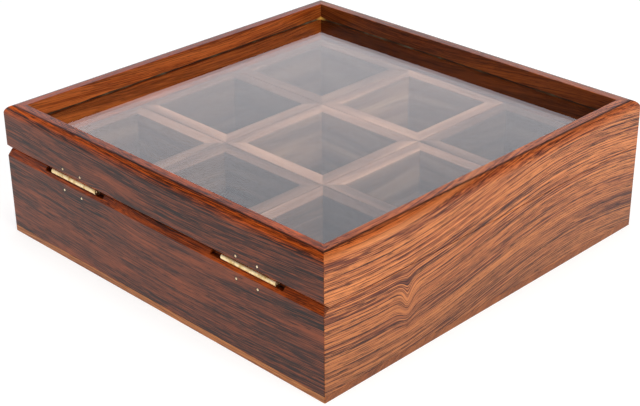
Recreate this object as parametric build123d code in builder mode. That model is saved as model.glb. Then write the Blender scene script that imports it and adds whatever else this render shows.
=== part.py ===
"""Hinged hardwood spice box with a glazed lid and nine loose square cups inside.

The frame: origin at the centre of the underside, +Z up, the hinged back at +Y and the front at -Y.
Base and lid are mitred frames cut from the same boards, so their walls have one thickness and one
outline. The lid holds a pane of glass in a groove. Two brass hinges sit in a V-groove along the
back: each leaf stands in a saw kerf inside the wall and is held by two nails driven through the back.
"""

import os

from build123d import *

os.makedirs("parts", exist_ok=True)

# The box
box_width = 240.0
box_depth = 240.0
base_height = 48.8
lid_height = 26.0
seam_gap = 0.2
wall = 9.5
panel_thickness = 3.5
lid_roundover = 5.2

# The glass in the lid
glass_thickness = 3.0
glass_recess = 9.4
glass_bite = 3.0
groove_play = 0.2
putty_leg = 0.9

# The cups
cups_per_side = 3
cup_gap = 0.5
cup_wall = 7.8
cup_floor = 3.0
cup_height = 46.5

# The V-groove and the hinges. The hinge pin's centre stands a little outside the groove's bottom,
# so the lid swings past upright before the groove's two outer edges meet.
groove_leg = 3.1
axis_out = 0.8
knuckle_radius = 1.7
pin_radius = 0.9
pin_clearance = 0.05
leaf_thickness = 0.8
leaf_reach = 13.0
hinge_length = 37.0
lid_knuckle_length = 18.5
knuckle_gap = 0.15
mortise_clearance = 0.2
kerf_play = 0.05
nail_radius = 0.7
nail_spacing = 14.5
base_nail_drop = 6.8
lid_nail_rise = 5.2
wood_behind_nail = 1.5

# How far each hinge's middle is from its end of the back, and the empty stretches of mortise on its
# left and right, all as marked out and cut by hand
left_hinge_inset = 50.0
left_hinge_gaps = (4.1, 8.7)
right_hinge_inset = 57.6
right_hinge_gaps = (5.1, 6.7)

# Worked out from the sizes above
inner_width = box_width - 2 * wall
inner_depth = box_depth - 2 * wall
back_y = box_depth / 2
lid_bottom_z = base_height + seam_gap
lid_top_z = lid_bottom_z + lid_height
glass_top_z = lid_top_z - glass_recess
glass_bottom_z = glass_top_z - glass_thickness
cup_width = (inner_width - (cups_per_side + 1) * cup_gap) / cups_per_side
cup_depth = (inner_depth - (cups_per_side + 1) * cup_gap) / cups_per_side
axis_y = back_y - groove_leg + axis_out
axis_z = base_height + seam_gap / 2
leaf_y = axis_y - knuckle_radius + leaf_thickness / 2
mortise_reach = knuckle_radius + mortise_clearance
nail_length = wall - wood_behind_nail
hinges = {
    "left": (left_hinge_inset - box_width / 2, left_hinge_gaps),
    "right": (box_width / 2 - right_hinge_inset, right_hinge_gaps),
}
down, up = -1, 1


def save(piece, label):
    """Names a finished piece and writes its file."""
    piece.part.label = label
    export_step(piece.part, f"parts/{label}.step")


def side_corners(side, width, depth, reach):
    """The plan of one side of a mitred frame: its outer edge, and 45 degree ends that run inward."""
    x, y = width / 2, depth / 2
    outer = {
        "back": [(-x, y), (x, y)],
        "right": [(x, y), (x, -y)],
        "front": [(x, -y), (-x, -y)],
        "left": [(-x, -y), (-x, y)],
    }[side]
    inner = [(px - reach * (1 if px > 0 else -1), py - reach * (1 if py > 0 else -1)) for px, py in outer]
    return [outer[0], outer[1], inner[1], inner[0]]


def frame_sides(frame, sides, centre, width, depth, reach, label):
    """Saws the named sides out of a whole frame at its mitres, as one piece with a solid for each."""
    box = frame.part.bounding_box()
    with BuildPart() as piece:
        add(frame.part)
        with BuildSketch(Plane((centre[0], centre[1], box.min.Z))):
            for side in sides:
                with BuildLine():
                    Polyline(*side_corners(side, width, depth, reach), close=True)
                make_face()
        extrude(amount=box.size.Z, mode=Mode.INTERSECT)
    save(piece, label)


def hinge_seats(way, nail_offset):
    """What is cut away for the hinges on one side of the seam: mortise, kerf and nail holes."""
    with BuildPart() as seats:
        for hinge_x, (left_gap, right_gap) in hinges.values():
            depth_way = Align.MAX if way == down else Align.MIN
            with Locations((hinge_x - hinge_length / 2 - left_gap, axis_y - mortise_reach, axis_z)):
                Box(
                    left_gap + hinge_length + right_gap,
                    back_y - axis_y + mortise_reach,
                    mortise_reach,
                    align=(Align.MIN, Align.MIN, depth_way),
                )
            with Locations((hinge_x, leaf_y, axis_z)):
                Box(
                    hinge_length + 2 * kerf_play,
                    leaf_thickness + 2 * kerf_play,
                    leaf_reach + kerf_play,
                    align=(Align.CENTER, Align.CENTER, depth_way),
                )
            with BuildSketch(nail_plane(hinge_x, way, nail_offset)):
                with GridLocations(nail_spacing, 0, 2, 1):
                    Circle(nail_radius)
            extrude(amount=nail_length)
    return seats.part


def nail_plane(hinge_x, way, nail_offset):
    """A plane on the back wall's face at the middle of a hinge's two nails, looking into the wood."""
    origin = (hinge_x, back_y, axis_z + way * nail_offset)
    return Plane(origin, x_dir=(1, 0, 0), z_dir=(0, -1, 0))


def hinge_leaf(hinge_x, way, nail_offset, knuckles, bore_radius, label):
    """One leaf: a plate in the kerf, and the knuckles that wrap the pin, from start to end along X."""
    start_x = hinge_x - hinge_length / 2
    relief = knuckle_radius + knuckle_gap
    with BuildPart() as leaf:
        with BuildSketch(Plane.YZ.offset(start_x)):
            with Locations((leaf_y, axis_z + way * (relief + leaf_reach) / 2)):
                Rectangle(leaf_thickness, leaf_reach - relief)
        extrude(amount=hinge_length)
        for knuckle_start, knuckle_end in knuckles:
            with BuildSketch(Plane.YZ.offset(start_x + knuckle_start)):
                with Locations((leaf_y, axis_z + way * relief / 2)):
                    Rectangle(leaf_thickness, relief)
                with Locations((axis_y, axis_z)):
                    Circle(knuckle_radius)
                    Circle(bore_radius, mode=Mode.SUBTRACT)
            extrude(amount=knuckle_end - knuckle_start)
        with BuildSketch(nail_plane(hinge_x, way, nail_offset)):
            with GridLocations(nail_spacing, 0, 2, 1):
                Circle(nail_radius)
        extrude(amount=nail_length, mode=Mode.SUBTRACT)
    save(leaf, label)


def hinge_nails(hinge_x, way, nail_offset, label):
    """The two nails that hold one leaf, filed flush with the back."""
    with BuildPart() as nails:
        with BuildSketch(nail_plane(hinge_x, way, nail_offset)):
            with GridLocations(nail_spacing, 0, 2, 1):
                Circle(nail_radius)
        extrude(amount=nail_length)
    save(nails, label)


# Base: four walls on a panel that reaches the outer faces
base_seats = hinge_seats(down, base_nail_drop)

with BuildPart() as base_frame:
    with BuildSketch(Plane.XY.offset(panel_thickness)):
        Rectangle(box_width, box_depth)
        Rectangle(inner_width, inner_depth, mode=Mode.SUBTRACT)
    extrude(amount=base_height - panel_thickness)
    with BuildSketch(Plane.YZ.offset(-box_width / 2)):
        with BuildLine():
            Polyline(
                (back_y, base_height),
                (back_y - groove_leg, base_height),
                (back_y, base_height - groove_leg),
                close=True,
            )
        make_face()
    extrude(amount=box_width, mode=Mode.SUBTRACT)
    add(base_seats, mode=Mode.SUBTRACT)

for side in ("back", "front", "left", "right"):
    frame_sides(base_frame, [side], (0, 0), box_width, box_depth, wall, f"{side}_wall")

with BuildPart() as bottom_panel:
    with BuildSketch():
        Rectangle(box_width, box_depth)
    extrude(amount=panel_thickness)
save(bottom_panel, "bottom_panel")

# Lid: four rails round the glass
lid_seats = hinge_seats(up, lid_nail_rise)

with BuildPart() as lid_frame:
    with BuildSketch(Plane.XY.offset(lid_bottom_z)):
        Rectangle(box_width, box_depth)
    extrude(amount=lid_height)
    fillet(lid_frame.edges().group_by(Axis.Z)[-1], radius=lid_roundover)
    with BuildSketch(Plane.XY.offset(lid_bottom_z)):
        Rectangle(inner_width, inner_depth)
    extrude(amount=lid_height, mode=Mode.SUBTRACT)
    with BuildSketch(Plane.XY.offset(glass_bottom_z)):
        reach = 2 * (glass_bite + groove_play)
        Rectangle(inner_width + reach, inner_depth + reach)
    extrude(amount=glass_thickness + groove_play, mode=Mode.SUBTRACT)
    with BuildSketch(Plane.YZ.offset(-box_width / 2)):
        with BuildLine():
            Polyline(
                (back_y, lid_bottom_z),
                (back_y - groove_leg, lid_bottom_z),
                (back_y, lid_bottom_z + groove_leg),
                close=True,
            )
        make_face()
    extrude(amount=box_width, mode=Mode.SUBTRACT)
    add(lid_seats, mode=Mode.SUBTRACT)

for side in ("back", "front", "left", "right"):
    frame_sides(lid_frame, [side], (0, 0), box_width, box_depth, wall, f"lid_{side}_rail")

with BuildPart() as glass_pane:
    with BuildSketch(Plane.XY.offset(glass_bottom_z)):
        Rectangle(inner_width + 2 * glass_bite, inner_depth + 2 * glass_bite)
    extrude(amount=glass_thickness)
save(glass_pane, "glass_pane")

with BuildPart() as glazing_putty:
    with BuildSketch(Plane.XY.offset(glass_top_z)):
        Rectangle(inner_width, inner_depth)
        Rectangle(inner_width - 2 * putty_leg, inner_depth - 2 * putty_leg, mode=Mode.SUBTRACT)
    extrude(amount=putty_leg)
    putty_top = glazing_putty.faces().sort_by(Axis.Z)[-1]
    chamfer(putty_top.inner_wires()[0].edges(), length=0.8 * putty_leg)
save(glazing_putty, "glazing_putty")

# Hinges: the lid's long knuckle runs on the pin, between the base's two short ones, which hold it
lid_knuckle_start = (hinge_length - lid_knuckle_length) / 2
lid_knuckle_end = lid_knuckle_start + lid_knuckle_length
base_knuckles = [
    (0, lid_knuckle_start - knuckle_gap),
    (lid_knuckle_end + knuckle_gap, hinge_length),
]
lid_knuckles = [(lid_knuckle_start, lid_knuckle_end)]
lid_bore_radius = pin_radius + pin_clearance

for name, (hinge_x, _) in hinges.items():
    hinge_leaf(hinge_x, down, base_nail_drop, base_knuckles, pin_radius, f"{name}_hinge_base_leaf")
    hinge_leaf(hinge_x, up, lid_nail_rise, lid_knuckles, lid_bore_radius, f"{name}_hinge_lid_leaf")
    hinge_nails(hinge_x, down, base_nail_drop, f"{name}_hinge_base_nails")
    hinge_nails(hinge_x, up, lid_nail_rise, f"{name}_hinge_lid_nails")
    with BuildPart() as hinge_pin:
        with BuildSketch(Plane.YZ.offset(hinge_x - hinge_length / 2)):
            with Locations((axis_y, axis_z)):
                Circle(pin_radius)
        extrude(amount=hinge_length)
    save(hinge_pin, f"{name}_hinge_pin")

# Cups: nine mitred boxes that stand loose on the panel, counted from the front left, row by row
cup_places = GridLocations(cup_width + cup_gap, cup_depth + cup_gap, cups_per_side, cups_per_side)
in_rows = sorted(cup_places, key=lambda place: (round(place.position.Y), round(place.position.X)))

for number, place in enumerate(in_rows, start=1):
    centre = (place.position.X, place.position.Y)
    with BuildPart() as cup_frame:
        with BuildSketch(Plane((*centre, panel_thickness))):
            Rectangle(cup_width, cup_depth)
            Rectangle(cup_width - 2 * cup_wall, cup_depth - 2 * cup_wall, mode=Mode.SUBTRACT)
        extrude(amount=cup_height)
    for sides, label in ((("left", "right"), "side_walls"), (("back", "front"), "end_walls")):
        frame_sides(cup_frame, sides, centre, cup_width, cup_depth, cup_wall, f"cup_{number}_{label}")
    with BuildPart() as cup_bottom:
        with BuildSketch(Plane((*centre, panel_thickness))):
            Rectangle(cup_width - 2 * cup_wall, cup_depth - 2 * cup_wall)
        extrude(amount=cup_floor)
    save(cup_bottom, f"cup_{number}_floor")

print(f"box {box_width:g} x {box_depth:g} x {lid_top_z:g} mm, cups {cup_width:g} x {cup_depth:g} mm")
print(f"cup free lift under the closed glass: {glass_bottom_z - panel_thickness - cup_height:g} mm")
print(f"hinge axis at y {axis_y:g}, z {axis_z:g} mm")
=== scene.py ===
# %% [markdown]
# # A glazed spice box in sheesham
# The box is a square carcass of mitred sheesham boards on a thin panel, with nine loose cups inside.
# Its lid is a mitred frame from the same boards round a pane of clear glass, on two small brass hinges.
# The CAD model gives every size, place and joint. This script gives each piece its finished surface:
# eased edges, rolled knuckles, nail heads, and wood whose grain runs along each board.

# %% Load the frame
import math

import bmesh
import bpy
import numpy as np
from mathutils import Matrix, Vector


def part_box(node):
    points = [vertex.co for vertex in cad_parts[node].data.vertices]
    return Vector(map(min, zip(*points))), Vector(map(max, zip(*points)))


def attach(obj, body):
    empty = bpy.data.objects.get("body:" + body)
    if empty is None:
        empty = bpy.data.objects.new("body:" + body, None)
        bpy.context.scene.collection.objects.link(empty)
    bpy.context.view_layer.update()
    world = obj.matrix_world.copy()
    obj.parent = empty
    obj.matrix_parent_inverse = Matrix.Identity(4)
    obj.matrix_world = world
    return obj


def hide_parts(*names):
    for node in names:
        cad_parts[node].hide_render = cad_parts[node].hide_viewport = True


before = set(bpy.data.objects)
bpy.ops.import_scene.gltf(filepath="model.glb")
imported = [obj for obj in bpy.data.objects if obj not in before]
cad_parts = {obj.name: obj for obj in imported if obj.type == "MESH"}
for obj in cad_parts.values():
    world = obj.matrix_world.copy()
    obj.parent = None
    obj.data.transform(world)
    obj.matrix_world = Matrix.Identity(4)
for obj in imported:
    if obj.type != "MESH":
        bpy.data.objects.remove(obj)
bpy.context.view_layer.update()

# %% [markdown]
# ## Sizes
# A piece that replaces a CAD node must fit the same place. So sizes are measured from the nodes, and
# only what a node's box can't tell, such as the depth of a groove, is named here again.

# %% Measure the frame
X, Y, Z = 0, 1, 2
mm = 0.001


def span(node, axis):
    """Lowest and highest coordinate of a CAD node along one axis, in metres."""
    low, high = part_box(node)
    return low[axis], high[axis]


half_width = span("bottom_panel", X)[1]
half_depth = span("bottom_panel", Y)[1]
panel_top = span("bottom_panel", Z)[1]
base_top = span("left_wall", Z)[1]
lid_bottom, lid_top = span("lid_left_rail", Z)
wall = span("left_wall", X)[1] - span("left_wall", X)[0]
glass_bottom, glass_top = span("glass_pane", Z)
groove_depth = span("glass_pane", X)[1] - half_width + wall + 0.2 * mm
hinge_y = sum(span("left_hinge_pin", Y)) / 2
hinge_z = sum(span("left_hinge_pin", Z)) / 2
print(f"walls {wall / mm:.1f} mm, lid {(lid_top - lid_bottom) / mm:.1f} mm high")
print(f"hinge axis at y {hinge_y / mm:.1f}, z {hinge_z / mm:.1f} mm")

# %% [markdown]
# ## Camera
# A long lens from behind the hinged corner, 27 degrees above the horizon. The camera stands a little
# low of the line through the box's middle, which is what frames the box, so the lens needs no shift.

# %% Camera
view_azimuth, view_elevation, view_roll = np.radians((225.04, 27.06, -0.51))
view_distance, view_right, view_up = 0.7912, -0.0015, -0.0200

forward = Vector((
    -math.sin(view_azimuth) * math.cos(view_elevation),
    math.cos(view_azimuth) * math.cos(view_elevation),
    -math.sin(view_elevation),
))
right = forward.cross(Vector((0, 0, 1))).normalized()
up = right.cross(forward)
camera_data = bpy.data.cameras.new("camera")
camera_data.lens = 82.05
camera_data.sensor_width = 36
camera_data.clip_start = 0.01
camera = bpy.data.objects.new("camera", camera_data)
place = Vector((0, 0, lid_top / 2)) - forward * view_distance + right * view_right + up * view_up
turn = Matrix((right, up, -forward)).transposed() @ Matrix.Rotation(view_roll, 3, "Z")
camera.matrix_world = Matrix.Translation(place) @ turn.to_4x4()
bpy.context.scene.collection.objects.link(camera)
bpy.context.scene.camera = camera
print("camera at", [round(value, 3) for value in place])

# %% [markdown]
# ## One function for nodes, one for colours
# A material is a small network of nodes. `add_node` makes any kind of node, sets its properties and
# fills its sockets, with values or with links, so a material reads as a list of what feeds what.
# Colours are written as the hex values a painter would pick on screen, and turned to linear light.


# %% Helpers for materials
def linear(hex_colour):
    """An sRGB hex colour as linear RGBA: each channel c becomes ((c + 0.055) / 1.055) to the 2.4."""
    channels = [int(hex_colour[i:i + 2], 16) / 255 for i in (1, 3, 5)]
    return [c / 12.92 if c <= 0.04045 else ((c + 0.055) / 1.055) ** 2.4 for c in channels] + [1.0]


def add_node(tree, kind, inputs, stops=(), **settings):
    """Adds a node. inputs maps a socket's name or number to a value or to the socket that feeds it."""
    node = tree.nodes.new("ShaderNode" + kind)
    for name, value in settings.items():
        setattr(node, name, value)
    for key, value in inputs.items():
        if isinstance(value, bpy.types.NodeSocket):
            tree.links.new(value, node.inputs[key])
        else:
            node.inputs[key].default_value = value
    for number, (position, hex_colour) in enumerate(stops):
        ramp = node.color_ramp.elements
        stop = ramp[number] if number < 2 else ramp.new(position)
        stop.position, stop.color = position, linear(hex_colour)
    return node


def new_material(name, note):
    """An empty node material, and its tree."""
    material = bpy.data.materials.new(name)
    material.use_nodes = True
    material.node_tree.nodes.clear()
    print(f"{name}: {note}")
    return material, material.node_tree


# %% [markdown]
# ## Sheesham, sanded and varnished
# Sheesham is Indian rosewood: golden to purple-brown heartwood with near-black streaks, coarse open
# pores, and growth layers that show as fine uneven lines along the board. A clear varnish deepens it
# and lays a gloss on top.
#
# The grain must follow each board, so every vertex carries its place in its board in an attribute
# named `board`: distance along the board, height, and depth from the outer face. The height is bent
# by a slow wave, as a tree's stem is, and drops sharply beside a knot. Noise stretched hundreds of times
# longer than it is wide then gives the lines, and the same field runs over edges and into the lid.


# %% Sheesham
def sheesham(name, note, tones, band=(160, 11), lines=0.6, streaks=0.5, streak_size=(210, 3),
             wave=(4, 150, 0), knots=(), marks=(), seed=0, gloss=0.45, roughness=0.42, pores=0.55,
             top_shading_and_end_grain_gain=(1, 1, 1), foot_shade_gain=1.0):
    """Sheesham, with all sizes in mm. tones are its light, middle, dark and streak colours. band and
    streak_size are the (length, width) of the broad bands and of the dark streaks. lines, streaks and
    pores say how strong each of those shows, from 0 to 1. wave is the (height, half length, place) of
    the stem's bend. A knot is (along, height, drop, width, tallness). A mark is one line of the wood
    that can't be left to chance, as (layer, thickness, strength, colour). top_shading_and_end_grain_gain
    multiplies the colour where the attribute `edge` is set: on a board's turned-up surfaces it paints
    light (gain above 1) and shade (gain below 1) there, and on a slab's end grain it gives the darker wood
    of the end grain.
    foot_shade_gain multiplies the colour at the foot of the board, as painted shade."""
    material, tree = new_material(name, note)
    light, middle, dark, streak = tones
    place = add_node(tree, "Attribute", {}, attribute_name="board")
    parts = add_node(tree, "SeparateXYZ", {0: place.outputs["Vector"]})
    along, height, depth = parts.outputs

    tall, half_length, lowest = wave
    rate = math.pi / (half_length * mm)
    phase = add_node(tree, "Math", {0: along, 1: rate, 2: -lowest * mm * rate}, operation="MULTIPLY_ADD")
    bend = add_node(tree, "Math", {0: phase.outputs[0]}, operation="COSINE")
    layer = add_node(tree, "Math", {0: bend.outputs[0], 1: tall * mm, 2: height}, operation="MULTIPLY_ADD")
    layer = add_node(tree, "Math", {0: depth, 1: 0.7, 2: layer.outputs[0]}, operation="MULTIPLY_ADD")
    for knot_along, knot_height, drop, broad, tallness in knots:
        away = add_node(tree, "VectorMath", {
            0: place.outputs["Vector"],
            1: (1 / (broad * mm), 1 / (tallness * mm), 0),
            2: (-knot_along / broad, -knot_height / tallness, 0),
        }, operation="MULTIPLY_ADD")
        distance = add_node(tree, "VectorMath", {0: away.outputs[0]}, operation="LENGTH")
        square = add_node(tree, "Math", {0: distance.outputs["Value"], 1: 1.6}, operation="POWER")
        fade = add_node(tree, "Math", {0: math.exp(-1), 1: square.outputs[0]}, operation="POWER")
        layer = add_node(tree, "Math", {
            0: fade.outputs[0], 1: drop * mm, 2: layer.outputs[0],
        }, operation="MULTIPLY_ADD")
    flow = add_node(tree, "CombineXYZ", {0: along, 1: layer.outputs[0], 2: depth})

    def stretched(long, wide, deep, detail, shift):
        """Noise whose cells are this many mm along the grain, across it and through the board."""
        scaled = add_node(tree, "VectorMath", {
            0: flow.outputs[0],
            1: (1 / (long * mm), 1 / (wide * mm), 1 / (deep * mm)),
            2: (seed + shift, 3.7 * seed - shift, 1.3 * seed),
        }, operation="MULTIPLY_ADD")
        noise = add_node(tree, "TexNoise", {
            "Vector": scaled.outputs[0], "Scale": 1.0, "Detail": detail, "Roughness": 0.55,
        }, noise_dimensions="3D")
        return noise.outputs["Fac"]

    def share(noise, none, full, amount):
        """0 where the noise is at none, rising to amount where it is at full."""
        ranged = add_node(tree, "MapRange", {
            "Value": noise, "From Min": none, "From Max": full, "To Min": 0.0, "To Max": amount,
        })
        return ranged.outputs["Result"]

    def toward(colour, factor, hex_colour):
        """The colour moved toward another by the factor."""
        mixed = add_node(tree, "Mix", {0: factor, 6: colour, 7: linear(hex_colour)}, data_type="RGBA")
        return mixed.outputs[2]

    bands = stretched(*band, 30, 2, 0)
    ramp = add_node(tree, "ValToRGB", {0: bands}, stops=((0.32, dark), (0.68, light), (0.49, middle)))
    colour = ramp.outputs["Color"]
    growth = stretched(300, 0.55, 9, 1.2, 11)
    colour = toward(colour, share(growth, 0.47, 0.38, lines), light)
    colour = toward(colour, share(growth, 0.51, 0.60, lines), dark)
    colour = toward(colour, share(stretched(130, 0.4, 6, 1, 53), 0.57, 0.63, lines), streak)
    colour = toward(colour, share(stretched(*streak_size, 20, 3, 23), 0.54, 0.64, streaks), streak)
    # A real pore is 0.1 to 0.2 mm wide. Here it is 0.36 mm, because a finer one wouldn't show.
    fibre = stretched(9, 0.36, 0.4, 2, 37)
    colour = toward(colour, share(stretched(16, 0.36, 0.4, 1, 41), 0.52, 0.62, pores), light)
    colour = toward(colour, share(fibre, 0.55, 0.64, pores), streak)
    for mark_layer, thickness, strength, tone in marks:
        # The line wanders up to 1.5 mm to either side of its layer.
        wander = add_node(tree, "Math", {0: bands, 1: 3 * mm, 2: layer.outputs[0]},
                          operation="MULTIPLY_ADD")
        off = add_node(tree, "Math", {0: wander.outputs[0], 1: (mark_layer + 1.5) * mm},
                       operation="SUBTRACT")
        off = add_node(tree, "Math", {0: off.outputs[0]}, operation="ABSOLUTE")
        line = share(off.outputs[0], thickness * mm, 0.3 * thickness * mm, strength)
        colour = toward(colour, line, tone)

    # Painted light and shade: where `edge` marks a board's turned-up surface, the colour is multiplied by
    # the gain, lighter on some boards and darker on others. On the panel `edge` marks the end grain, which
    # the gain darkens as real end grain is. The foot of the board is darkened as painted shade.
    edge = add_node(tree, "Attribute", {}, attribute_name="edge")
    top_shading_and_end_grain = add_node(tree, "VectorMath", {
        0: edge.outputs["Fac"], 1: [gain - 1 for gain in top_shading_and_end_grain_gain], 2: (1, 1, 1),
    }, operation="MULTIPLY_ADD")
    foot = add_node(tree, "MapRange", {
        "Value": height, "From Min": 0.0, "From Max": 55 * mm, "To Min": foot_shade_gain, "To Max": 1.0,
    })
    for gain in (top_shading_and_end_grain.outputs[0], foot.outputs["Result"]):
        colour = add_node(tree, "VectorMath", {0: colour, 1: gain}, operation="MULTIPLY").outputs[0]
    # Painted shade: the attribute `painted_shade` darkens the floor and roof of each mortise nearly to
    # black, and a ring round each nail.
    painted_shade = add_node(tree, "Attribute", {}, attribute_name="painted_shade")
    colour = toward(colour, painted_shade.outputs["Fac"], "#0d0604")

    rough = add_node(tree, "MapRange", {
        "Value": fibre, "From Min": 0.4, "From Max": 0.7,
        "To Min": roughness - 0.05, "To Max": roughness + 0.12,
    })
    bump = add_node(tree, "Bump", {"Strength": 0.3, "Distance": 0.06 * mm, "Height": fibre}, invert=True)
    shader = add_node(tree, "BsdfPrincipled", {
        "Base Color": colour,
        "Roughness": rough.outputs["Result"],
        "IOR": 1.5,
        "Specular IOR Level": 0.06,
        "Coat Weight": gloss,
        "Coat Roughness": 0.1,
        "Coat IOR": 1.5,
        "Normal": bump.outputs["Normal"],
    })
    add_node(tree, "OutputMaterial", {"Surface": shader.outputs[0]})
    return material


# In the woods below, top_shading_and_end_grain_gain paints light and shade on the turned-up surfaces: it
# lightens the back's and the front's, and darkens the left's and the right's. On the panel it darkens the
# end grain, as real end grain is. foot_shade_gain darkens the foot of the left board as painted shade.
left_wood = sheesham(
    "sheesham_left_board_varnished", "warm orange-brown with fine dark lines, waving round a pin knot",
    tones=("#cb7c44", "#9c552d", "#5d2612", "#1f0805"), band=(120, 7), lines=0.95, streaks=0.15,
    wave=(8, 145, 80), knots=[(65, 31, 7.0, 3.8, 10)], marks=[(80, 2.6, 0.4, "#cf8f5c")], seed=2,
    pores=0.75, top_shading_and_end_grain_gain=(0.8, 0.62, 0.5), foot_shade_gain=0.57,
)
back_wood = sheesham(
    "sheesham_back_board_varnished", "dark purple-brown heartwood with near-black streaks",
    tones=("#8b4220", "#42190c", "#150708", "#060303"), band=(75, 8), lines=0.35, streaks=0.85,
    streak_size=(110, 4), wave=(3.5, 170, -20), knots=[(35, 50, -4, 16, 12)],
    marks=[(71.9, 0.5, 0.95, "#100404"), (75.2, 0.3, 0.7, "#240a03")], seed=5, pores=0.8,
    top_shading_and_end_grain_gain=(1.95, 1.6, 0.5),
)
right_wood = sheesham(
    "sheesham_right_board_varnished", "red-brown with a few dark bands",
    tones=("#b9622a", "#8a3d11", "#5a270d", "#230e07"), lines=0.4, streaks=0.5,
    wave=(5, 190, 30), seed=9, top_shading_and_end_grain_gain=(0.7, 0.42, 0.12),
)
front_wood = sheesham(
    "sheesham_front_board_varnished", "deep red-brown",
    tones=("#8a4419", "#602a10", "#3c1a0b", "#190a06"), lines=0.35, streaks=0.5,
    wave=(6, 160, -40), seed=14, top_shading_and_end_grain_gain=(1.35, 1.35, 1.35),
)
panel_wood = sheesham(
    "sheesham_panel_varnished", "the lighter board that the bottom panel is planed from",
    tones=("#cf8648", "#a8622c", "#7c401a", "#48200c"), lines=0.4, streaks=0.3,
    wave=(2, 120, 0), seed=21, top_shading_and_end_grain_gain=(0.5, 0.42, 0.38),
)
# The cups' tones are set dark to paint the shade inside the cups, which the pane doesn't cast.
# top_shading_and_end_grain_gain lightens their top edges again as painted light, and foot_shade_gain
# darkens their lower walls as painted shade.
cup_wood = sheesham(
    "sheesham_cup_sanded_bare", "bare sanded wood, dull because no varnish deepens it",
    tones=("#a07c64", "#7c5c49", "#5a4132", "#392720"), lines=0.2, streaks=0.35, streak_size=(60, 6),
    wave=(1.5, 90, 0), seed=30, gloss=0.0, roughness=0.62, pores=0.12,
    top_shading_and_end_grain_gain=(1.7, 1.68, 1.9), foot_shade_gain=0.5,
)

# %% [markdown]
# ## Glass, putty and brass
# The pane is clear float glass. Lamps shine through it: it casts no shadow, and the wood under it is
# lit as under real glass. Its tint wanders a little, as where a cloth has left a faint film.
#
# The putty is a linseed bead, brown from the varnish, grey-green where it was left bare, with a drop
# of yellow glue in one corner. The brass is rolled sheet and drawn wire, polished and a little dull.


# %% Float glass
def float_glass():
    """Clear glass: the eye gets the reflection of the room over what lies beneath."""
    material, tree = new_material("float_glass_clear", "clear, mirrors the room at a low angle")
    place = add_node(tree, "TexCoord", {}).outputs["Object"]
    smear = add_node(tree, "TexNoise", {"Vector": place, "Scale": 1 / (25 * mm), "Detail": 2.0})
    tint = add_node(tree, "ValToRGB", {0: smear.outputs["Fac"]},
                    stops=((0.3, "#f6fbf9"), (0.7, "#f3f9f6")))
    shader = add_node(tree, "BsdfPrincipled", {
        "Base Color": tint.outputs["Color"],
        "Roughness": 0.0,
        "IOR": 1.52,
        "Transmission Weight": 1.0,
    })
    add_node(tree, "OutputMaterial", {"Surface": shader.outputs[0]})
    return material


glass = float_glass()


# %% Putty
def linseed_putty():
    """Dull brown putty, patchy grey-green, yellow where the attribute `glue` says so."""
    material, tree = new_material("linseed_putty_hand_pressed", "brown, patchy grey-green, dull")
    place = add_node(tree, "TexCoord", {}).outputs["Object"]
    patch = add_node(tree, "TexNoise", {"Vector": place, "Scale": 1 / (14 * mm), "Detail": 2.0})
    patches = add_node(tree, "ValToRGB", {0: patch.outputs["Fac"]},
                       stops=((0.44, "#2c180c"), (0.66, "#4a4738"), (0.55, "#3a2616")))
    glue = add_node(tree, "Attribute", {}, attribute_name="glue")
    colour = add_node(tree, "Mix", {
        0: glue.outputs["Fac"], 6: patches.outputs["Color"], 7: linear("#b98c3f"),
    }, data_type="RGBA")
    grain = add_node(tree, "TexNoise", {"Vector": place, "Scale": 1 / (0.8 * mm)})
    bump = add_node(tree, "Bump", {
        "Strength": 0.4, "Distance": 0.1 * mm, "Height": grain.outputs["Fac"],
    })
    shader = add_node(tree, "BsdfPrincipled", {
        "Base Color": colour.outputs[2],
        "Roughness": 0.7,
        "IOR": 1.48,
        "Specular IOR Level": 0.1,
        "Normal": bump.outputs["Normal"],
    })
    add_node(tree, "OutputMaterial", {"Surface": shader.outputs[0]})
    return material


putty = linseed_putty()


# %% Brass
def polished_brass(name, note, bright, dull, roughness):
    """Brass with faint lengthwise polishing lines, and dull spots where fingers have touched it. The
    lines are 0.17 mm apart, coarser than real ones, which wouldn't show."""
    material, tree = new_material(name, note)
    place = add_node(tree, "TexCoord", {}).outputs["Object"]
    lengthwise = add_node(tree, "Mapping", {"Vector": place, "Scale": (300, 6000, 6000)})
    scratch = add_node(tree, "TexNoise", {"Vector": lengthwise.outputs[0], "Scale": 1.0, "Detail": 2.0})
    spot = add_node(tree, "TexNoise", {"Vector": place, "Scale": 1 / (2.5 * mm), "Detail": 3.0})
    colour = add_node(tree, "ValToRGB", {0: spot.outputs["Fac"]}, stops=((0.40, bright), (0.75, dull)))
    rough = add_node(tree, "MapRange", {
        "Value": spot.outputs["Fac"], "To Min": roughness - 0.05, "To Max": roughness + 0.2,
    })
    bump = add_node(tree, "Bump", {
        "Strength": 0.25, "Distance": 0.02 * mm, "Height": scratch.outputs["Fac"],
    })
    shader = add_node(tree, "BsdfPrincipled", {
        "Base Color": colour.outputs["Color"],
        "Metallic": 1.0,
        "Roughness": rough.outputs["Result"],
        "Normal": bump.outputs["Normal"],
    })
    add_node(tree, "OutputMaterial", {"Surface": shader.outputs[0]})
    return material


sheet_brass = polished_brass("brass_sheet_rolled_polished", "pale gold, bright on the barrel",
                             "#f6dfae", "#c9a25c", 0.22)
wire_brass = polished_brass("brass_wire_drawn", "nails and pins, cut from drawn wire",
                            "#f7e3c0", "#c49a58", 0.3)

# %% [markdown]
# ## From arrays to pieces
# Every shape below is worked out as arrays of points, with the faces between them. Several closed
# shells can share one piece, as the two boards of a cup do. Blender then turns all faces outwards,
# and marks edges sharper than 35 degrees, so that rounded edges shade smooth and the rest stay crisp.


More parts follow.
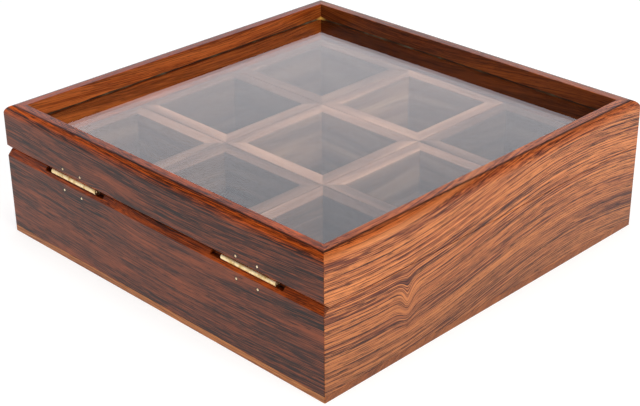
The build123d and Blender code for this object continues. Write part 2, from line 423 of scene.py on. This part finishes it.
# %% Helpers for meshes
def join(shells):
    """Several (points, faces, attributes) shells as one, with the face numbers moved along."""
    starts = np.cumsum([0] + [len(points) for points, _, _ in shells])
    points = np.concatenate([points for points, _, _ in shells])
    faces = [[int(start) + i for i in face]
             for start, (_, loops, _) in zip(starts, shells) for face in loops]
    attributes = {name: np.concatenate([extra[name] for _, _, extra in shells]) for name in shells[0][2]}
    return points, faces, attributes


def tube_faces(rows, columns, joined=False):
    """Quads between each row of points and the next, every row a closed loop. joined closes the last
    row to the first, as on a ring."""
    row, column = np.meshgrid(np.arange(rows if joined else rows - 1), np.arange(columns), indexing="ij")
    after, below = (column + 1) % columns, (row + 1) % rows
    quads = np.stack([row * columns + column, row * columns + after, below * columns + after,
                      below * columns + column], axis=-1)
    return quads.reshape(-1, 4).tolist()


def closed_tube(rows, columns):
    """A tube's faces, with one more face over each end."""
    last = (rows - 1) * columns
    return tube_faces(rows, columns) + [list(range(columns)), list(range(last, last + columns))]


def new_piece(name, shell, material, body, slot, *nodes):
    """Makes the mesh, gives it its finish, hangs it on the empty of its body, and hides the CAD nodes it
    stands for.
    """
    points, faces, attributes = shell
    mesh = bpy.data.meshes.new(name)
    mesh.from_pydata(points.tolist(), [], faces)
    work = bmesh.new()
    work.from_mesh(mesh)
    bmesh.ops.recalc_face_normals(work, faces=work.faces)
    work.to_mesh(mesh)
    work.free()
    mesh.shade_smooth()
    mesh.set_sharp_from_angle(angle=math.radians(35))
    for label, values in attributes.items():
        kind, field = ("FLOAT_VECTOR", "vector") if values.ndim == 2 else ("FLOAT", "value")
        attribute = mesh.attributes.new(label, kind, "POINT")
        attribute.data.foreach_set(field, values.ravel().astype(np.float32))
    mesh.materials.append(material)
    piece = bpy.data.objects.new(name, mesh)
    bpy.context.scene.collection.objects.link(piece)
    shading = piece.modifiers.new("flat faces shade flat", "WEIGHTED_NORMAL")
    shading.weight, shading.keep_sharp = 90, True
    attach(piece, body)
    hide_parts(*nodes)
    return piece


# %% [markdown]
# ## Outlines with eased corners
# A planed board has no knife edges: sandpaper rounds them to half a millimetre, and the router rounds
# the lid's top edge to five. Each section is a polygon of (depth from the outer face, height), and
# `eased` swaps each corner for an arc of its own radius. A radius of 0 keeps the point as it is.


# %% Eased outlines
arc_steps = 9


def eased(corners):
    """A closed outline from (depth, height, radius) corners in metres. The arc's ends are where the
    sides touch it, and its points turn evenly from one end's direction to the other's."""
    corners = np.array(corners, float)
    at, radius = corners[:, :2], corners[:, 2]
    back = np.roll(at, 1, axis=0) - at
    ahead = np.roll(at, -1, axis=0) - at
    back /= np.linalg.norm(back, axis=1, keepdims=True)
    ahead /= np.linalg.norm(ahead, axis=1, keepdims=True)
    half = np.arccos(np.clip((back * ahead).sum(axis=1), -1, 1)) / 2
    middle = back + ahead
    middle /= np.maximum(np.linalg.norm(middle, axis=1, keepdims=True), 1e-9)
    centre = at + middle * (radius / np.sin(half))[:, None]
    reach = (radius / np.tan(half))[:, None]
    start, end = at + back * reach - centre, at + ahead * reach - centre
    turn = (np.pi - 2 * half)[:, None]
    step = np.linspace(0, 1, arc_steps)
    sine = np.where(turn > 1e-6, np.sin(turn), 1)
    first = np.where(turn > 1e-6, np.sin((1 - step) * turn), 1 - step) / sine
    second = np.where(turn > 1e-6, np.sin(step * turn), step) / sine
    arcs = centre[:, None] + first[..., None] * start[:, None] + second[..., None] * end[:, None]
    kept = (radius[:, None] > 0) | (np.arange(arc_steps) == 0)
    return arcs[kept]


# %% [markdown]
# ## A mitred board
# All walls, rails and cup sides are the same thing: a section carried along a side of a square and cut
# at 45 degrees at both ends. In numbers, a point at depth d ends at half the side's length less d.
# Where two boards meet, the upright corner is eased too: within the corner's radius r the face draws
# back along a quarter circle, to the depth r - sqrt(r^2 - (r - s)^2) at a distance s from the corner.
#
# The back boards' sections change at the hinge mortises, the side boards' back ends follow the groove,
# and the wood sinks a little round each nail. Three attributes are written here: `board` for the grain,
# `painted_shade` for painted shade in the mortises and round each nail, and `edge`, which is 1 where a
# surface faces up or down, and with which the wood paints light and shade there.

# %% Mitred boards
outward_of = {"back": (0, 1), "front": (0, -1), "left": (-1, 0), "right": (1, 0)}
corner_radius = 0.6 * mm
corner_rows = np.array([0, 0.15, 0.35, 0.75]) * corner_radius  # how far each row lies from the end
nail_dimple, dimple_radius, shade_ring_radius = 0.12 * mm, 0.95 * mm, 1.15 * mm


def board(side, half_x, half_y, sections, spots=(0.0,), centre=(0, 0), groove=None, nails=(),
          grain=(0, 0, 0)):
    """A closed shell. sections has one outline for each spot along the board. groove is (end, function
    of height) where a groove cuts the mitre at that end, and grain moves the wood's pattern. Round a
    nail the face sinks, and the painted shade fades, by a bell curve of the distance. `edge` is one and
    a half times the sine of the surface's turn from upright, at most 1; the wood paints light and shade
    with it on the surfaces that face up."""
    outward = np.array(outward_of[side], float)
    along = np.array([outward[1], -outward[0]])
    reach, half_length = abs(outward) @ (half_x, half_y), abs(along) @ (half_x, half_y)
    sections = np.asarray(sections)
    first_end, last_end = (end.repeat(len(corner_rows), 0) for end in (sections[:1], sections[-1:]))
    sections = np.concatenate([first_end, sections, last_end])
    depth, height = sections[..., 0].copy(), sections[..., 1]
    inset = {end: np.maximum(depth[0], (1 - math.sqrt(0.5)) * corner_radius) for end in (-1, 1)}
    if groove:
        inset[groove[0]] = np.maximum(inset[groove[0]], groove[1](height[0]))
    steps = corner_rows[:, None]
    distance = np.concatenate([
        inset[-1] + steps - half_length,
        np.broadcast_to(np.array(spots)[:, None], (len(spots), depth.shape[1])),
        half_length - inset[1] - steps[::-1],
    ])
    near = np.clip(corner_radius - (half_length - abs(distance)), 0, corner_radius)
    depth = np.maximum(depth, corner_radius - np.sqrt(corner_radius ** 2 - near ** 2))
    side_step = np.roll(sections, -1, axis=1) - np.roll(sections, 1, axis=1)
    # `edge` marks the surfaces that face up or down; the wood paints light and shade on them with it.
    edge = np.minimum(1.5 * abs(side_step[..., 0]) / np.linalg.norm(side_step, axis=-1), 1)
    # Painted shade: the floor and roof of each mortise are darkened almost to black, where shade falls in
    # the recess.
    painted_shade = np.where(abs(sections[..., 0] - mortise_face) < 0.15 * mm, 0.95 * (edge > 0.5), 0)
    for nail_along, nail_height in nails:
        gap = (distance - nail_along) ** 2 + (height - nail_height) ** 2
        face = sections[..., 0] < mm / 100
        depth = depth + face * nail_dimple * np.exp(-gap / dimple_radius ** 2)
        # Painted shade: a dark ring round each nail, where the head's dimple lies in shade.
        painted_shade = np.maximum(painted_shade, face * np.exp(-(gap / shade_ring_radius ** 2) ** 2))
    flat = np.array(centre) + outward * (reach - depth)[..., None] + along * distance[..., None]
    points = np.concatenate([flat, height[..., None]], axis=-1).reshape(-1, 3)
    wood = np.stack([distance, height, depth], axis=-1).reshape(-1, 3) + grain
    rows, columns = depth.shape
    faces = tube_faces(rows, columns)
    for end, row in ((-1, 0), (1, rows - 1)):
        loop = row * columns + np.arange(columns)
        if groove and groove[0] == end:
            cut = np.flatnonzero(groove[1](height[row]) > sections[row, :, 0] + mm / 1000)
            faces.append(loop[cut[0] - 1:cut[-1] + 2].tolist())
            faces.append(np.delete(loop, cut).tolist())
        else:
            faces.append(loop.tolist())
    return points, faces, {"board": wood, "painted_shade": painted_shade.ravel(), "edge": edge.ravel()}


# %% [markdown]
# ## Sections of the base and the lid
# The V-groove along the back is a 45 degree chamfer on each side of the seam. At a hinge it opens into
# a mortise for the knuckles. Both outlines have the same number of points, in the same order, so the
# mortise's end walls are just the quads from one outline to the other, over a fifth of a millimetre.

# %% Sections
groove_leg, mortise_reach = 3.1 * mm, 1.9 * mm
seam_ease, inner_ease, groove_ease = 0.12 * mm, 0.5 * mm, 0.35 * mm
lid_roundover = 5.2 * mm
mortise_face = half_depth - hinge_y + mortise_reach
nail_grid = np.arange(-4, 5) * 0.35 * mm


def near_nails(nail_heights):
    """Points on the outer face round each nail height, so that the dimples have a fine enough grid."""
    return [(0, nail_height + step, 0) for nail_height in nail_heights for step in nail_grid]


def groove_side(edge, way, at_hinge):
    """The corners from the outer face over the chamfer to the mortise's line. edge is the seam's
    height on this board, and way is -1 where the board lies below it and 1 above."""
    floor = hinge_z + way * mortise_reach
    on_slope = (groove_leg - abs(floor - edge), floor, 0)
    bottom = (mortise_face, floor, 0.1 * mm) if at_hinge else (groove_leg, edge, 0.25 * mm)
    return [(0, edge + way * groove_leg, groove_ease), on_slope, bottom, (mortise_face, edge, 0)]


def plain_side(edge, way):
    """The same stretch on a board without the groove, with points where the groove's end crosses it."""
    steps = np.array([-0.15, 0, 0.15]) * mm
    on_face = [(0, edge + way * (groove_leg - step), 0) for step in steps]
    on_seam = [(groove_leg + step, edge, 0) for step in steps]
    return on_face + [(0, edge, seam_ease)] + on_seam


def base_section(middle, nail_heights=()):
    """Outline of a base wall, from the panel up the outer face, over the top and down the inside."""
    return eased([(0, panel_top, 0.15 * mm)] + near_nails(nail_heights) + middle
                 + [(wall, base_top, inner_ease), (wall, panel_top, 0.15 * mm)])


def lid_section(middle, nail_heights=()):
    """Outline of a lid rail, from the inside along the seam, up the outer face, over the roundover
    and down past the groove that holds the glass."""
    return eased([(wall, lid_bottom, inner_ease)] + middle[::-1] + near_nails(nail_heights) + [
        (0, lid_top, lid_roundover),
        (wall, lid_top, 0.35 * mm),
        (wall, glass_top + 0.2 * mm, 0.1 * mm),
        (wall - groove_depth, glass_top + 0.2 * mm, 0),
        (wall - groove_depth, glass_bottom, 0),
        (wall, glass_bottom, 0.1 * mm),
    ])


print(f"mortises reach {mortise_face / mm:.1f} mm into the back, the groove {groove_leg / mm:.1f} mm")

# %% [markdown]
# ## The carcass
# Each side's base wall and lid rail were one board before the lid was sawn off, so they share one
# finish and one set of `board` numbers, and the grain runs on across the seam.

# %% Base walls and lid rails
mortise_gaps = {"left": (4.1 * mm, 8.7 * mm), "right": (5.1 * mm, 6.7 * mm)}
mortise_slope = 0.2 * mm


def nails_of(row):
    """Where the nails in one leaf of each hinge are: their places along the back and their height."""
    found = []
    for hinge in ("left", "right"):
        low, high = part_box(f"{hinge}_hinge_{row}_nails")
        radius = (high.z - low.z) / 2
        found += [(x, (low.z + high.z) / 2) for x in (low.x + radius, high.x - radius)]
    return found


def back_stations(nails):
    """Places along the back board where its outline changes or a nail needs a fine grid, each with
    whether it lies in a mortise."""
    mortises = []
    for hinge, (before, after) in mortise_gaps.items():
        low, high = span(f"{hinge}_hinge_pin", X)
        mortises.append((low - before, high + after))
    places = {round(x + step, 7) for x, _ in nails for step in nail_grid}
    for low, high in mortises:
        places |= {low, low + mortise_slope, high, high - mortise_slope}
    spots = sorted(places)
    return spots, [any(low + mm / 100 < x < high - mm / 100 for low, high in mortises) for x in spots]


def groove_end(edge, way, outline):
    """How deep the back's groove is at a height, read from the back board's own outline."""
    beside_seam = abs(outline[:, 1] - edge) < groove_leg + 0.3 * mm
    facing = outline[(outline[:, 0] < mortise_face - mm / 100) & beside_seam]
    facing = facing[np.argsort(facing[:, 1])]
    return lambda height: np.interp(height, facing[:, 1], facing[:, 0],
                                    left=0 if way < 0 else None, right=0 if way > 0 else None)


woods = {"back": back_wood, "front": front_wood, "left": left_wood, "right": right_wood}
for level, edge, way, section, body in (
    ("base", base_top, -1, base_section, "base"),
    ("lid", lid_bottom, 1, lid_section, "lid"),
):
    nails = nails_of(level)
    nail_heights = [nails[0][1]]
    outlines = [section(groove_side(edge, way, at_hinge), nail_heights) for at_hinge in (False, True)]
    spots, inside = back_stations(nails)
    groove = groove_end(edge, way, outlines[0])
    plain = section(plain_side(edge, way))
    for side, wood in woods.items():
        node = f"{side}_wall" if level == "base" else f"lid_{side}_rail"
        if side == "back":
            along_back = [outlines[at_hinge] for at_hinge in inside]
            shell = board(side, half_width, half_depth, along_back, spots, nails=nails)
        else:
            end = {"left": 1, "right": -1}.get(side)
            shell = board(side, half_width, half_depth, [plain], groove=(end, groove) if end else None)
        piece = new_piece(f"{node}_board", shell, wood, body, "carcass_wood", node)
        print(f"{piece.name}: {len(piece.data.polygons)} faces")

# %% [markdown]
# ## Slabs
# The bottom panel, the pane and the cup floors are flat sheets with eased edges. A slab is one rounded
# rectangle at several heights: at its top and bottom it draws in along a quarter circle.


# %% Slabs
def slab(low, high, corner, ease, grain=(0, 0, 0), end_grain=0.0):
    """A closed shell between two corners of a box. Rings of points follow the rectangle with corners of
    the given radius, and the ring at angle a of the eased edge draws in by ease times (1 - sin a).
    end_grain is the value of `edge` at the two ends of the grain, which soak up more varnish."""
    low, high = np.array(low, float), np.array(high, float)
    angle = np.linspace(0, np.pi / 2, 5)
    quarter = np.stack([np.cos(angle), np.sin(angle)], axis=-1)
    turned = np.stack([-quarter[:, 1], quarter[:, 0]], axis=-1)
    compass = np.concatenate([quarter, turned, -quarter, -turned])
    signs = np.array([(1, 1), (-1, 1), (-1, -1), (1, -1)], float).repeat(len(angle), axis=0)
    half = (high - low)[:2] / 2
    inward, upward = ease * (1 - np.sin(angle)), ease * (1 - np.cos(angle))
    draw = np.concatenate([inward, inward[::-1]])
    rise = np.concatenate([low[2] + upward, high[2] - upward[::-1]])
    ring = (low + high)[:2] / 2 + signs * (half - corner) + compass * (corner - draw)[:, None, None]
    height = np.broadcast_to(rise[:, None, None], ring.shape[:2] + (1,))
    points = np.concatenate([ring, height], axis=-1).reshape(-1, 3)
    faces = closed_tube(*ring.shape[:2])
    wood = points[:, [0, 2, 1]] + grain
    ends = np.broadcast_to(end_grain * abs(compass[:, 0]), ring.shape[:2]).ravel()
    return points, faces, {"board": wood, "painted_shade": np.zeros(len(points)), "edge": ends}


panel = slab(*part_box("bottom_panel"), corner_radius, 0.15 * mm, grain=(0.3, 0, 0), end_grain=1.0)
new_piece("bottom_panel_board", panel, panel_wood, "base", "panel_wood", "bottom_panel")
pane = new_piece("glass_pane_sheet", slab(*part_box("glass_pane"), 0.8 * mm, 0.3 * mm), glass, "lid",
                 "glass", "glass_pane")
pane.visible_shadow = False
print(f"pane {(span('glass_pane', X)[1] - span('glass_pane', X)[0]) / mm:.1f} mm wide")

# %% [markdown]
# ## The cups
# Nine small mitred boxes. Each board is its own piece of wood, so each takes its grain from another
# place in the same pattern, chosen by a seeded draw so that every run gives the same nine cups.

# %% Cups
draw = np.random.default_rng(11)
for number in range(1, 10):
    low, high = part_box(f"cup_{number}_side_walls")
    floor_low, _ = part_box(f"cup_{number}_floor")
    thickness = floor_low.x - low.x
    outline = eased([(0, low.z, 0.15 * mm), (0, high.z, 0.4 * mm), (thickness, high.z, 0.4 * mm),
                     (thickness, low.z, 0.15 * mm)])
    half = ((high.x - low.x) / 2, (high.y - low.y) / 2)
    centre = ((high.x + low.x) / 2, (high.y + low.y) / 2)
    for pair, node in ((("left", "right"), "side_walls"), (("back", "front"), "end_walls")):
        shells = [board(side, *half, [outline], centre=centre, grain=draw.uniform(-1, 1, 3))
                  for side in pair]
        new_piece(f"cup_{number}_{node}_boards", join(shells), cup_wood, f"cup_{number}", "cup_wood",
                  f"cup_{number}_{node}")
    new_piece(f"cup_{number}_floor_board", slab(*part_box(f"cup_{number}_floor"), 0.2 * mm, 0.15 * mm,
              draw.uniform(-1, 1, 3)), cup_wood, f"cup_{number}", "cup_wood", f"cup_{number}_floor")
print(f"cups {(high.x - low.x) / mm:.1f} mm square, boards {thickness / mm:.1f} mm")

# %% [markdown]
# ## The putty
# A bead pressed along the joint of glass and wood by hand, so its width wanders. Its section is a
# hollow triangle, carried round the inside of the lid, and swells to a drop in one corner.


# %% Putty bead
def putty_bead(x, y, bottom, leg):
    """A ring. Along the path, the leg's length is a sum of sines, and at the front right corner it
    swells by a bell curve. Across, the bead is (1 - t)^1.6 wide where it is t^1.6 high."""
    count = 48
    side = np.linspace(-1, 1, count, endpoint=False)
    one = np.ones(count)
    corners = np.concatenate([np.stack([side, one], -1), np.stack([one, -side], -1),
                              np.stack([-side, -one], -1), np.stack([-one, side], -1)])
    path = corners * (x, y)
    inward = -np.where(abs(corners) > 1 - 1e-9, corners, 0)
    run = np.arange(4 * count) / (4 * count) * 2 * np.pi
    wander = 0.72 + 0.13 * np.sin(23 * run + 1) + 0.09 * np.sin(57 * run + 2) + 0.06 * np.sin(91 * run)
    drop = np.exp(-((path[:, 0] - x) ** 2 + (path[:, 1] + y) ** 2) / (2.6 * mm) ** 2)
    size = leg * (wander + 0.9 * drop)
    across = np.linspace(0, 1, 7)
    wide = np.concatenate([[0], (1 - across) ** 1.6])
    high = np.concatenate([[0], across ** 1.6])
    flat = path[:, None] + inward[:, None] * (size[:, None] * wide)[..., None]
    level = bottom + size[:, None] * high
    points = np.concatenate([flat, level[..., None]], axis=-1).reshape(-1, 3)
    return points, tube_faces(4 * count, 8, joined=True), {"glue": np.repeat(drop, 8)}


bead = putty_bead(half_width - wall, half_depth - wall, glass_top, 0.9 * mm)
new_piece("glazing_putty_bead", bead, putty, "lid", "putty", "glazing_putty")

# %% [markdown]
# ## The hinges
# A leaf is one strip of sheet brass. Its ends are cut into tongues and rolled round the pin into
# knuckles, so in section each knuckle is the plate's own thickness curled into a C, with a fine slit
# where the tongue's end meets the plate. The plate stands in a saw kerf and is hardly seen.

# %% Hinge leaves
sheet = 0.8 * mm
knuckle_length, knuckle_gap = 18.5 * mm, 0.15 * mm
crown_height = 0.13 * mm


def rod(outline, start, end):
    """An outline of (y, z) points carried along X, closed by a flat face at each end."""
    outline = np.array(outline)
    points = np.concatenate([np.insert(outline, 0, x, axis=1) for x in (start, end)])
    return points, closed_tube(2, len(outline)), {}


def knuckle_outline(radius, way, relief):
    """The curled section: up the plate's inner side, round the pin's outside through 298 degrees, back
    round the pin itself and down the plate's outer side. way is -1 for a leaf that hangs down."""
    turn = np.radians(np.linspace(180, -118, 40))
    circle = np.stack([np.cos(turn), np.sin(turn)], axis=-1)
    outer, inner = radius * circle, (radius - sheet) * circle[::-1]
    curled = np.concatenate([[(-radius, -relief)], outer, inner, [(sheet - radius, -relief)]])
    return curled * (1, -way) + (hinge_y, hinge_z)


def turned(profile, centre, axis, count=28):
    """A lathe shape: (radius, place along the axis) points swept round a line along X or Y."""
    radius, place = np.array(profile).T
    angle = np.linspace(0, 2 * np.pi, count, endpoint=False)
    ring = radius[:, None, None] * np.stack([np.cos(angle), np.sin(angle)], axis=-1)
    length = np.broadcast_to(place[:, None, None], ring.shape[:2] + (1,))
    order = [2, 0, 1] if axis == X else [0, 2, 1]
    points = np.concatenate([ring, length], axis=-1)[..., order].reshape(-1, 3) + centre
    return points, closed_tube(len(profile), count), {}


for hinge in ("left", "right"):
    start, end = span(f"{hinge}_hinge_pin", X)
    lid_start = (start + end - knuckle_length) / 2
    lid_end = lid_start + knuckle_length
    tongues = {
        "base": [(start, lid_start - knuckle_gap), (lid_end + knuckle_gap, end)],
        "lid": [(lid_start, lid_end)],
    }
    for level, way in (("base", -1), ("lid", 1)):
        node = f"{hinge}_hinge_{level}_leaf"
        low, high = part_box(node)
        knuckle_radius = high.y - hinge_y
        relief = knuckle_radius + knuckle_gap
        far = low.z if way < 0 else high.z
        near = hinge_z + way * relief
        inside = hinge_y - knuckle_radius
        outside = inside + sheet
        plate = rod([(inside, near), (outside, near), (outside, far), (inside, far)], start, end)
        curls = [rod(knuckle_outline(knuckle_radius, way, relief), *tongue) for tongue in tongues[level]]
        leaf = new_piece(f"{node}_rolled", join([plate] + curls), sheet_brass, level, "brass", node)
        bevel = leaf.modifiers.new("filed edges", "BEVEL")
        bevel.width, bevel.segments, bevel.angle_limit = 0.07 * mm, 2, math.radians(50)
        nail_node = f"{hinge}_hinge_{level}_nails"
        nail_low, nail_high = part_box(nail_node)
        nail_radius, nail_tip = (nail_high.z - nail_low.z) / 2, nail_low.y - nail_high.y
        crown = np.linspace(0.12, 1, 6) * np.pi / 2
        profile = [(nail_radius * math.sin(a), -crown_height * (1 - math.cos(a))) for a in crown]
        profile += [(0.85 * nail_radius, -0.5 * mm), (0.8 * nail_radius, nail_tip + 1.2 * mm),
                    (0.1 * nail_radius, nail_tip)]
        heads = [turned(profile, (x, nail_high.y, (nail_low.z + nail_high.z) / 2), Y)
                 for x in (nail_low.x + nail_radius, nail_high.x - nail_radius)]
        new_piece(f"{nail_node}_domed", join(heads), wire_brass, level, "brass", nail_node)
    low, high = span(f"{hinge}_hinge_pin", Z)
    pin_radius = (high - low) / 2
    half = (end - start) / 2
    profile = [(0.4 * pin_radius, -half), (0.8 * pin_radius, 0.1 * mm - half),
               (pin_radius, 0.3 * mm - half)]
    profile += [(radius, -place) for radius, place in profile[::-1]]
    pin = turned(profile, ((start + end) / 2, hinge_y, hinge_z), X)
    new_piece(f"{hinge}_hinge_pin_wire", pin, wire_brass, "base", "brass", f"{hinge}_hinge_pin")
    print(f"{hinge} hinge {(end - start) / mm:.1f} mm long, pin {2 * pin_radius / mm:.1f} mm")

# %% [markdown]
# ## Floor, sky and lamps
# The box stands on a plain white light table. The room is a pale wall, brightest behind the box,
# where the glass mirrors it, and a darker ceiling, which keeps the varnished edges deep. A wide soft
# lamp hangs over the box, another lights the left face from the side, and a weak one lifts the back.


# %% Floor
def light_table():
    """Matt white acrylic, faintly mottled, lit from below as on a light table, so shadows stay faint."""
    material, tree = new_material("acrylic_white_backlit", "a white light table under the box")
    place = add_node(tree, "TexCoord", {})
    mottle = add_node(tree, "TexNoise", {"Vector": place.outputs["Object"], "Scale": 8.0})
    colour = add_node(tree, "ValToRGB", {0: mottle.outputs["Fac"]},
                      stops=((0.3, "#a4a4a4"), (0.7, "#a8a8a8")))
    shader = add_node(tree, "BsdfPrincipled", {
        "Base Color": colour.outputs["Color"],
        "Roughness": 0.9,
        "Emission Color": linear("#ffffff"),
        "Emission Strength": 0.68,
    })
    add_node(tree, "OutputMaterial", {"Surface": shader.outputs[0]})
    return material


floor_reach = 8.0
floor_corners = [(x * floor_reach, y * floor_reach, 0) for x, y in ((-1, -1), (1, -1), (1, 1), (-1, 1))]
floor_mesh = bpy.data.meshes.new("floor")
floor_mesh.from_pydata(floor_corners, [], [(0, 1, 2, 3)])
floor_mesh.materials.append(light_table())
floor = bpy.data.objects.new("floor", floor_mesh)
bpy.context.scene.collection.objects.link(floor)


# %% Sky
def room():
    """The world's light: a ramp over elevation, from a pale wall to a dim ceiling, times a brightness
    that is highest behind the box. Along the horizon it is white all round, so no wall shows."""
    world = bpy.data.worlds.new("room")
    world.use_nodes = True
    tree = world.node_tree
    tree.nodes.clear()
    place = add_node(tree, "TexCoord", {})
    away = add_node(tree, "VectorMath", {0: place.outputs["Generated"]}, operation="NORMALIZE")
    parts = add_node(tree, "SeparateXYZ", {0: away.outputs[0]})
    wall_light = add_node(tree, "ValToRGB", {0: parts.outputs["Z"]}, stops=(
        (0.0, "#ffffff"), (0.75, "#33353a"), (0.33, "#fff9ff"), (0.48, "#d8dae4"), (0.58, "#5a5e66"),
    ))
    behind = add_node(tree, "VectorMath", {0: away.outputs[0], 1: (0.7071, -0.7071, 0)},
                      operation="DOT_PRODUCT")
    strength = add_node(tree, "MapRange", {
        "Value": behind.outputs["Value"], "From Min": -0.3, "From Max": 0.8, "To Min": 0.5, "To Max": 1.4,
    }, interpolation_type="SMOOTHSTEP")
    rise = add_node(tree, "MapRange", {"Value": parts.outputs["Z"], "From Min": 0.08, "From Max": 0.25})
    above = add_node(tree, "Mix", {0: rise.outputs["Result"], 2: 1.0, 3: strength.outputs["Result"]},
                     data_type="FLOAT")
    light = add_node(tree, "Background", {
        "Color": wall_light.outputs["Color"], "Strength": above.outputs[0],
    })
    add_node(tree, "OutputWorld", {"Surface": light.outputs[0]})
    return world


bpy.context.scene.world = room()


# %% Lamps
def soft_lamp(name, place, size, power, hex_colour, mirrored=True):
    """A square area lamp that faces the box. One that is not mirrored leaves no square in the pane:
    neither its upper face nor, for light that has gone in and out again, its lower face shows it."""
    data = bpy.data.lights.new(name, "AREA")
    data.size, data.energy, data.color = size, power, linear(hex_colour)[:3]
    lamp = bpy.data.objects.new(name, data)
    lamp.location = place
    lamp.rotation_euler = (-Vector(place)).to_track_quat("-Z", "Y").to_euler()
    lamp.visible_glossy = mirrored
    lamp.visible_transmission = mirrored
    bpy.context.scene.collection.objects.link(lamp)


soft_lamp("top lamp", (-0.1, 0.1, 1.4), 1.0, 14, "#fffaf4", mirrored=False)
soft_lamp("side lamp", (-1.25, 0.15, 0.7), 0.8, 13, "#fff6ec")
soft_lamp("back lamp", (0.3, 1.2, 1.0), 0.8, 2.5, "#eef2ff")

# %% [markdown]
# ## Colour
# The plain sRGB view keeps paper white and wood saturated.

# %% Finish
scene = bpy.context.scene
scene.view_settings.view_transform = "Standard"
scene.view_settings.look = "None"
